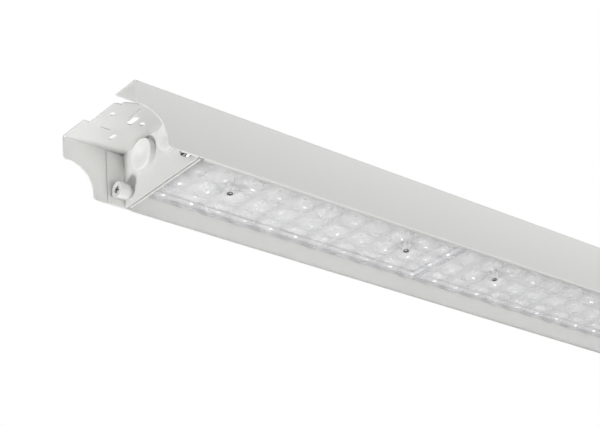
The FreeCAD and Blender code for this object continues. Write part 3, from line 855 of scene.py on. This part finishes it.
@dataclass
class CrossScrew:
    """Screw with a domed head and a cross recess.

    Where they are given, a collar sits under the head, an insert in the recess, and the shank has a finish
    of its own. The recess insert is painted light: painted shade where it is dark, painted highlight where
    it is bright. The overlaps are shares of the head's height.
    """

    name: str
    finish: Finish
    head_radius: float
    head_height: float
    shank_radius: float
    shank_length: float
    crown: float = 0.5 * MM
    recess: CrossRecess = CrossRecess()
    collar_radius: float = 0.0
    collar_length: float = 0.0
    painted_recess: Finish | None = None
    shank_finish: Finish | None = None
    painted_recess_share: float = 0.5
    painted_recess_fit: float = 0.98
    shank_overlap: float = 0.3
    collar_overlap: float = 0.2
    round_steps: int = 32
    head_rings: int = 5
    most_twist: float = 1.5
    twist_seed: int = 4

    def bar(self, bench: GeometryBench, radius: Operand, low: Operand, high: Operand) -> Signal:
        """A round bar along Z between two levels."""
        bar = bench.add("GeometryNodeMeshCylinder", {}, {
            "Vertices": self.round_steps, "Radius": radius, "Depth": high - low})
        return bench.raised(bar, (high + low) / 2)

    def domed_head(self, bench: GeometryBench, radius: Signal, height: Signal, crown: Signal) -> Signal:
        """The head without its recess.

        Args:
            bench: The tree to build on.
            radius: Radius of the head.
            height: Height at its middle.
            crown: How much lower its rim is.

        Returns:
            A closed mesh that stands on zero height.
        """
        drum = bench.add("GeometryNodeMeshCylinder", {"fill_type": "TRIANGLE_FAN"}, {
            "Vertices": self.round_steps, "Fill Segments": self.head_rings, "Radius": radius,
            "Depth": height})
        x, y, z = bench.spot()
        share = (x * x + y * y) ** 0.5 / radius
        level = (z > 0.0) * (height - crown * share ** 3.0)
        return bench.reshaped(drum, bench.vector(x, y, level))

    def cross(self, bench: GeometryBench, length: Signal, width: Signal, low: Signal,
              high: Signal) -> list[Signal]:
        """Two crossed bars between two levels."""
        depth = high - low
        spans = [bench.vector(length, width, depth), bench.vector(width, length, depth)]
        bars = [bench.add("GeometryNodeMeshCube", {}, {"Size": span}) for span in spans]
        return [bench.raised(bar, (high + low) / 2.0) for bar in bars]

    def tree(self) -> GeometryBench:
        """The tree that sets one screw on each point that goes in.

        Returns:
            A bench whose Outward X, Y and Z inputs point out of the heads.
        """
        bench = GeometryBench(self.name)
        radius = bench.size("Head Radius", self.head_radius)
        height = bench.size("Head Height", self.head_height)
        crown = bench.size("Crown", self.crown)
        shank_end = bench.size("Shank Length", self.shank_length) * -1.0
        outward = bench.vector(*[bench.size(f"Outward {axis}", 0.0) for axis in "XYZ"])
        solid = [self.domed_head(bench, radius, height, crown)]
        shank_radius = bench.size("Shank Radius", self.shank_radius)
        if not self.shank_finish:
            solid.append(self.bar(bench, shank_radius, shank_end, height * self.shank_overlap))
        if self.collar_length:
            collar_end = bench.size("Collar Length", self.collar_length) * -1.0
            collar_radius = bench.size("Collar Radius", self.collar_radius)
            solid.append(self.bar(bench, collar_radius, collar_end, height * self.collar_overlap))
        screw = bench.united(*solid) if len(solid) > 1 else solid[0]
        length = bench.size("Recess Length", self.recess.length)
        width = bench.size("Recess Width", self.recess.width)
        depth = bench.size("Recess Depth", self.recess.depth)
        floor = height - depth
        for bar in self.cross(bench, length, width, floor, height + depth):
            screw = bench.carved(screw, bar)
        shapes = [(screw, self.finish)]
        # The recess insert is painted light: a dark one is painted shade, a bright one painted highlight.
        if self.painted_recess:
            painted_recess_bars = self.cross(bench, length * self.painted_recess_fit, width * self.painted_recess_fit, floor,
                               floor + depth * self.painted_recess_share)
            shapes.append((bench.united(*painted_recess_bars), self.painted_recess))
        if self.shank_finish:
            shapes.append((self.bar(bench, shank_radius, shank_end, 0.0), self.shank_finish))
        facing = bench.add("FunctionNodeAlignRotationToVector", {"axis": "Z"}, {"Vector": outward})
        angle = bench.add("FunctionNodeRandomValue", {"data_type": "FLOAT"}, {
            "Min": 0.0, "Max": self.most_twist, "Seed": self.twist_seed})
        twist = bench.add("FunctionNodeAxisAngleToRotation", {}, {"Axis": (0.0, 0.0, 1.0), "Angle": angle})
        turned = bench.add("FunctionNodeRotateRotation", {"rotation_space": "LOCAL"}, {
            "Rotation": facing, "Rotate By": twist})
        bench.deliver(bench.joined(*[
            bench.painted(bench.instances(bench.source, shape, turned), finish.material())
            for shape, finish in shapes]))
        return bench

    def build(self, piece_name: str, slot: str, node: str, seats: list[Point], outward: Point) -> None:
        """Set screws on their seats.

        Args:
            piece_name: Name of the new piece.
            slot: The record's material slot.
            node: The CAD node that it stands for.
            seats: Middle of each head's seat.
            outward: Direction out of the heads.
        """
        piece = self.tree().make(piece_name, seats, Outward_X=outward[0], Outward_Y=outward[1],
                                 Outward_Z=outward[2])
        tidy_mesh(piece.data)
        set_down(piece, slot, node)


@dataclass
class TurnedPiece:
    """A piece turned about a line along X, from a profile that starts at its outer face."""

    profile: list[tuple[float, float, float]]
    finish: Finish
    ring: bool = False
    corner_steps: int = 5
    corner_share: float = 0.48
    round_steps: int = 64

    def outline(self) -> list[tuple[float, float]]:
        """The profile in millimetres with its corners rounded.

        Returns:
            Depth and radius of each point.
        """
        spots = [Vector((depth, radius)) for depth, radius, _ in self.profile]
        line = []
        for index, (_, _, corner) in enumerate(self.profile):
            here = spots[index]
            if not corner:
                line.append(here)
                continue
            before, after = spots[index - 1] - here, spots[(index + 1) % len(spots)] - here
            reach = min(corner, self.corner_share * before.length, self.corner_share * after.length)
            first, last = here + before.normalized() * reach, here + after.normalized() * reach
            for step in range(self.corner_steps + 1):
                t = step / self.corner_steps
                line.append(first * (1 - t) ** 2 + here * (2 * t * (1 - t)) + last * t ** 2)
        return [(spot.x, spot.y) for spot in line]

    def mesh(self, name: str) -> bpy.types.Mesh:
        """The turned mesh, with its outer face at zero and its depth along X."""
        work = bmesh.new()
        verts = [work.verts.new((depth * MM, radius * MM, 0.0)) for depth, radius in self.outline()]
        pairs = list(zip(verts, verts[1:]))
        if self.ring:
            pairs.append((verts[-1], verts[0]))
        edges = [work.edges.new(pair) for pair in pairs]
        bmesh.ops.spin(work, geom=verts + edges, cent=(0.0, 0.0, 0.0), axis=(1.0, 0.0, 0.0),
                       angle=2 * math.pi, steps=self.round_steps, use_merge=True)
        mesh = bpy.data.meshes.new(name)
        work.to_mesh(mesh)
        work.free()
        return mesh

    def build(self, name: str, slot: str, node: str, end: End) -> None:
        """Make the piece at the place of a CAD node.

        Args:
            name: Name of the new piece.
            slot: The record's material slot.
            node: The CAD node that it stands for.
            end: The end of the batten that its outer face looks out of.
        """
        mesh = self.mesh(name)
        mesh.transform(Matrix.Translation(outer_middle(node, end))
                       @ Matrix.Scale(-end.value, 4, (1.0, 0.0, 0.0)))
        tidy_mesh(mesh)
        mesh.materials.append(self.finish.material())
        set_down(linked(name, mesh), slot, node)


@dataclass
class CableGrommets:
    """White grommets in the end plates, each with a dished blank face, in millimetres."""

    radius: float = 12.4
    edge: float = 1.3
    front: float = 4.8
    neck_radius: float = 9.9
    sheet: float = 1.0
    back_radius: float = 11.0
    back: float = 2.0
    dish_radius: float = 9.0
    dish_depth: float = 1.6
    dish_steps: int = 8
    sheet_corner: float = 0.3
    back_corner: float = 0.6
    finish: Finish = MOULDED_WHITE

    def profile(self) -> list[tuple[float, float, float]]:
        """Depth, radius and corner of each point, in millimetres."""
        shares = [step / self.dish_steps for step in range(self.dish_steps + 1)]
        dish = [(self.dish_depth * math.cos(share * math.pi / 2) ** 2, self.dish_radius * share, 0.0)
                for share in shares]
        seat = self.front + self.sheet
        return dish + [
            (0.0, self.radius, self.edge),
            (self.front, self.radius, self.sheet_corner),
            (self.front, self.neck_radius, 0.0),
            (seat, self.neck_radius, 0.0),
            (seat, self.back_radius, self.sheet_corner),
            (seat + self.back, self.neck_radius, self.back_corner),
            (seat + self.back, 0.0, 0.0),
        ]

    def build(self) -> None:
        """Make and place all four grommets."""
        turned = TurnedPiece(self.profile(), self.finish)
        for end in End:
            for side in Side:
                node = f"cable_grommet_{side.word}_{end.word}"
                turned.build(f"grommet_{side.word}_{end.word}", "white_plastic", node, end)


@dataclass
class EndFasteners:
    """What holds the LED tray to the end plates: a white knob with its screw, and a dark screw.

    The knob's sizes are in millimetres, as its profile is.
    """

    knob_length: float = 12.0
    knob_front_radius: float = 6.3
    knob_foot_radius: float = 5.8
    knob_neck_radius: float = 4.0
    knob_neck: float = 2.8
    knob_bore: float = 2.15
    recess_radius: float = 2.9
    recess_depth: float = 2.3
    rim_radius: float = 5.3
    face_depth: float = 0.2
    recess_corner: float = 0.25
    rim_corner: float = 0.4
    front_corner: float = 0.9
    soft_corner: float = 0.5
    neck_corner: float = 0.2
    thread_radius: float = 2.0 * MM
    knob_head: float = 2.0 * MM
    knob_head_radius: float = 2.7 * MM
    knob_recess: CrossRecess = CrossRecess(4.4 * MM, 1.1 * MM, 1.4 * MM)
    dark_head: float = 4.0 * MM
    dark_head_radius: float = 5.8 * MM
    dark_crown: float = 1.3 * MM
    dark_recess: CrossRecess = CrossRecess(7.0 * MM, 1.9 * MM, 1.7 * MM)
    dark_painted_recess_share: float = 0.92
    fittings: tuple[str, ...] = ("spacer_washers", "tray_nuts")

    def knob(self) -> TurnedPiece:
        """The white knob: flared barrel on a neck, with a rim round its dished face."""
        foot = self.knob_length - self.knob_neck
        return TurnedPiece([
            (self.recess_depth, self.knob_bore, 0.0),
            (self.recess_depth, self.recess_radius, 0.0),
            (self.face_depth, self.recess_radius, self.recess_corner),
            (self.face_depth, self.rim_radius - 2 * self.face_depth, self.soft_corner),
            (0.0, self.rim_radius, self.rim_corner),
            (0.0, self.knob_front_radius, self.front_corner),
            (foot, self.knob_foot_radius, self.soft_corner),
            (foot, self.knob_neck_radius, self.neck_corner),
            (self.knob_length, self.knob_neck_radius, 0.0),
            (self.knob_length, self.knob_bore, 0.0),
        ], KNOB_WHITE, ring=True)

    def screw(self, end: End, node: str, shape: CrossScrew, slot: str) -> None:
        """One screw at the place of its CAD node.

        Args:
            end: The end of the batten.
            node: The CAD node.
            shape: The screw, whose shank is cut to the node's length.
            slot: The record's material slot.
        """
        low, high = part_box(node)
        x, y, z = outer_middle(node, end)
        seat = (x - end.value * shape.head_height, y, z)
        shape.shank_length = high.x - low.x - shape.head_height
        shape.build(f"{node}_turned", slot, node, [seat], (float(end.value), 0.0, 0.0))

    def build(self) -> None:
        """Make and place the fasteners of both ends."""
        knob = self.knob()
        for end in End:
            knob.build(f"knob_{end.word}", "white_plastic", f"retaining_knob_{end.word}", end)
            # The black insert in the knob screw's recess is painted shade.
            self.screw(end, f"knob_screw_{end.word}", CrossScrew(
                "knob_screw", ZINC_PLATE, self.knob_head_radius, self.knob_head, self.thread_radius, 0.0,
                recess=self.knob_recess, painted_recess=BLACK_OXIDE), "zinc_steel")
            # The end screw's bright specks and zinc recess insert are painted highlights.
            self.screw(end, f"end_plate_screw_{end.word}", CrossScrew(
                "end_screw", GLINT_SPECKLED_OXIDE, self.dark_head_radius, self.dark_head, self.thread_radius, 0.0,
                crown=self.dark_crown, recess=self.dark_recess, painted_recess=ZINC_PLATE,
                painted_recess_share=self.dark_painted_recess_share, collar_radius=self.knob_neck_radius * MM,
                collar_length=self.knob_neck * MM), "dark_steel")
        for node in self.fittings:
            dress(node, ZINC_PLATE.material())


@dataclass
class LedBoards:
    """LED boards with one chip behind each lens, and the screws through them.

    The screws' heads are drawn smaller than the CAD node's, as their marks in the photograph are small.
    """

    count: int = 4
    chip_size: float = 3.0 * MM
    body_height: float = 0.55 * MM
    window_radius: float = 1.1 * MM
    window_height: float = 0.1 * MM
    window_sides: int = 12
    screw_head: float = 1.0 * MM
    screw_radius: float = 2.2 * MM
    screw_thread: float = 1.5 * MM
    screw_crown: float = 0.35 * MM
    screw_recess: CrossRecess = CrossRecess(depth=0.7 * MM)

    def chip_tree(self) -> GeometryBench:
        """The tree that sets one chip, facing down, on each point that goes in.

        Returns:
            The finished bench.
        """
        bench = GeometryBench("led_chip")
        size = bench.size("Chip Size", self.chip_size)
        height = bench.size("Body Height", self.body_height)
        window = bench.size("Window Height", self.window_height)
        body = bench.add("GeometryNodeMeshCube", {}, {"Size": bench.vector(size, size, height)})
        body = bench.raised(body, height / -2.0)
        pane = bench.add("GeometryNodeMeshCylinder", {}, {
            "Vertices": self.window_sides, "Radius": bench.size("Window Radius", self.window_radius),
            "Depth": window})
        pane = bench.raised(pane, -(height + window / 2.0))
        bodies = bench.painted(bench.instances(bench.source, body), CHIP_BODY.material())
        panes = bench.painted(bench.instances(bench.source, pane), PHOSPHOR.material())
        bench.deliver(bench.joined(bodies, panes))
        return bench

    def build(self, strip: LensStrip) -> None:
        """Dress the boards, then make and place their chips and screws.

        Args:
            strip: The lens strips, which give every lens and screw place.
        """
        bench = self.chip_tree()
        seats = []
        for index in range(1, self.count + 1):
            dress(f"led_board_{index}", SOLDER_MASK.material())
            board_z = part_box(f"led_board_{index}")[0].z
            piece = bench.make(f"chips_{index}", [(x, y, board_z) for x, y in strip.lens_places(index)])
            tidy_mesh(piece.data)
            set_down(piece, "led_chip", f"led_chips_{index}")
            seats += [(x, 0.0, strip.face_z - strip.boss_height) for x in strip.screw_places(index)]
        low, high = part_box("lens_screws")
        screw = CrossScrew("lens_screw", BLACK_OXIDE, self.screw_radius, self.screw_head, self.screw_thread,
                           high.z - low.z - self.screw_head, crown=self.screw_crown,
                           # The white shank is painted light: seen through the clear boss, it stands in for
                           # the boss's lit side.
                           recess=self.screw_recess, shank_finish=MOULDED_WHITE)
        screw.build("lens_strip_screws", "dark_steel", "lens_screws", seats, (0.0, 0.0, -1.0))


@dataclass
class Wiring:
    """Driver, terminal block, connectors and leads inside the housing."""

    boards: int = 4

    def build(self) -> None:
        """Dress every piece on top of the LED tray."""
        red = insulation("red_lead", (0.46, 0.03, 0.03, 1.0))
        finishes = {
            "led_driver": DRIVER_CASE,
            "terminal_block": NATURAL_PLASTIC,
            "driver_nuts": ZINC_PLATE,
            "earth_nut": ZINC_PLATE,
            "mains_leads": insulation("brown_lead", (0.20, 0.09, 0.04, 1.0)),
            "earth_lead": insulation("green_lead", (0.10, 0.34, 0.07, 1.0)),
            "board_link_leads": red,
            "driver_lead_plus": red,
            "driver_lead_minus": insulation("black_lead", (0.03, 0.03, 0.03, 1.0)),
        }
        finishes.update({f"board_connector_{i}": NATURAL_PLASTIC for i in range(1, self.boards + 1)})
        for node, finish in finishes.items():
            dress(node, finish.material())


@dataclass(frozen=True)
class Softbox:
    """An oblong soft light that the camera doesn't see: its level side comes first, and its power in watts.

    With glints_only it shows only in gloss, and lights nothing else.
    """

    name: str
    place: Point
    aim: Point
    size: tuple[float, float]
    power: float
    glints_only: bool = False

    def build(self) -> None:
        """Hang the light in the scene."""
        light = bpy.data.lights.new(self.name, "AREA")
        light.shape = "RECTANGLE"
        light.size, light.size_y = self.size
        light.energy = self.power
        lamp = linked(self.name, light)
        lamp.location = self.place
        lamp.rotation_euler = (Vector(self.aim) - Vector(self.place)).to_track_quat("-Z", "Y").to_euler()
        lamp.visible_camera = False
        lamp.visible_diffuse = not self.glints_only


SOFTBOXES = (
    Softbox("key_softbox", (-2.4, 0.32, -1.27), (-0.58, 0.0, -0.03), (0.5, 0.5), 36.0),
    Softbox("low_softbox", (0.2, -1.3, -2.2), (0.0, 0.0, -0.03), (1.6, 1.2), 2.0),
    Softbox("side_softbox", (-0.2, -1.8, -1.2), (-0.3, 0.0, -0.03), (1.4, 1.0), 28.5),
    Softbox("side_strip", (0.0, -0.10, 0.035), (0.0, -0.045, -0.01), (1.6, 0.03), 0.14),
    Softbox("glint_box", (0.27, 0.75, -2.0), (-0.35, 0.0, -0.03), (0.6, 0.6), 48.0, glints_only=True),
)


@dataclass
class Studio:
    """Soft light all round, a pale floor far below, and the camera."""

    eye: Vector = field(default_factory=lambda: Vector((-1.21427, -0.81764, -0.62265)))
    aim: Vector = field(default_factory=lambda: Vector((-0.60861, -0.17252, -0.15681)))
    roll: float = -5.53
    focal_length: float = 100.03
    sensor_width: float = 36.0
    ambient: float = 0.24
    floor_z: float = -5.6
    floor_size: float = 400.0
    floor_colour: Colour = (0.88, 0.88, 0.88, 1.0)
    floor_white: float = 0.85

    def seen_rays(self, bench: NodeBench) -> Signal:
        """One for rays that show the background: straight, mirrored or through glass."""
        path = bench.add("ShaderNodeLightPath")
        mirrored = path.output("Is Glossy Ray").most(path.output("Is Transmission Ray"))
        return path.output("Is Camera Ray").most(mirrored)

    def world(self) -> None:
        """White surroundings that light the batten evenly."""
        world = bpy.data.worlds.new("studio")
        world.use_nodes = True
        world.node_tree.nodes.clear()
        bench = NodeBench(world.node_tree)
        strength = self.ambient + self.seen_rays(bench) * (1.0 - self.ambient)
        sky = bench.add("ShaderNodeBackground", {}, {"Color": (1.0, 1.0, 1.0, 1.0), "Strength": strength})
        bench.add("ShaderNodeOutputWorld", {}, {"Surface": sky})
        bpy.context.scene.world = world

    def floor(self) -> None:
        """A pale floor that reads as white where it is seen."""
        half = self.floor_size / 2
        mesh = bpy.data.meshes.new("floor")
        corners = [(-half, -half), (half, -half), (half, half), (-half, half)]
        mesh.from_pydata([(x, y, self.floor_z) for x, y in corners], [], [(0, 1, 2, 3)])
        bench = ShaderBench("floor")
        matt = bench.add("ShaderNodeBsdfDiffuse", {}, {"Color": self.floor_colour})
        white = bench.add("ShaderNodeEmission", {}, {"Strength": 1.0})
        share = self.seen_rays(bench) * self.floor_white
        bench.add("ShaderNodeOutputMaterial", {}, {
            "Surface": bench.add("ShaderNodeMixShader", {}, {"Fac": share, 1: matt, 2: white})})
        mesh.materials.append(bench.material)
        floor = linked("floor", mesh)

    def camera(self) -> None:
        """The camera of the photograph: below the left end, looking up along the batten."""
        data = bpy.data.cameras.new("camera")
        data.lens = self.focal_length
        data.sensor_width = self.sensor_width
        camera = linked("camera", data)
        look = (self.aim - self.eye).to_track_quat("-Z", "Y")
        tilt = Quaternion((0.0, 0.0, 1.0), math.radians(self.roll))
        camera.matrix_world = Matrix.Translation(self.eye) @ (look @ tilt).to_matrix().to_4x4()
        bpy.context.scene.camera = camera

    def build(self) -> None:
        """Set up light, floor and camera."""
        bpy.context.scene.view_settings.view_transform = "Standard"
        self.world()
        self.floor()
        for softbox in SOFTBOXES:
            softbox.build()
        self.camera()


def main() -> None:
    """Dress the batten piece by piece and set up the studio."""
    logging.basicConfig(level=logging.INFO, format="%(name)s: %(message)s")
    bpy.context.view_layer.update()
    strip = LensStrip()
    SheetMetal().build()
    strip.build()
    LedBoards().build(strip)
    CableGrommets().build()
    EndFasteners().build()
    Wiring().build()
    Studio().build()


if __name__ == "__main__":
    main()
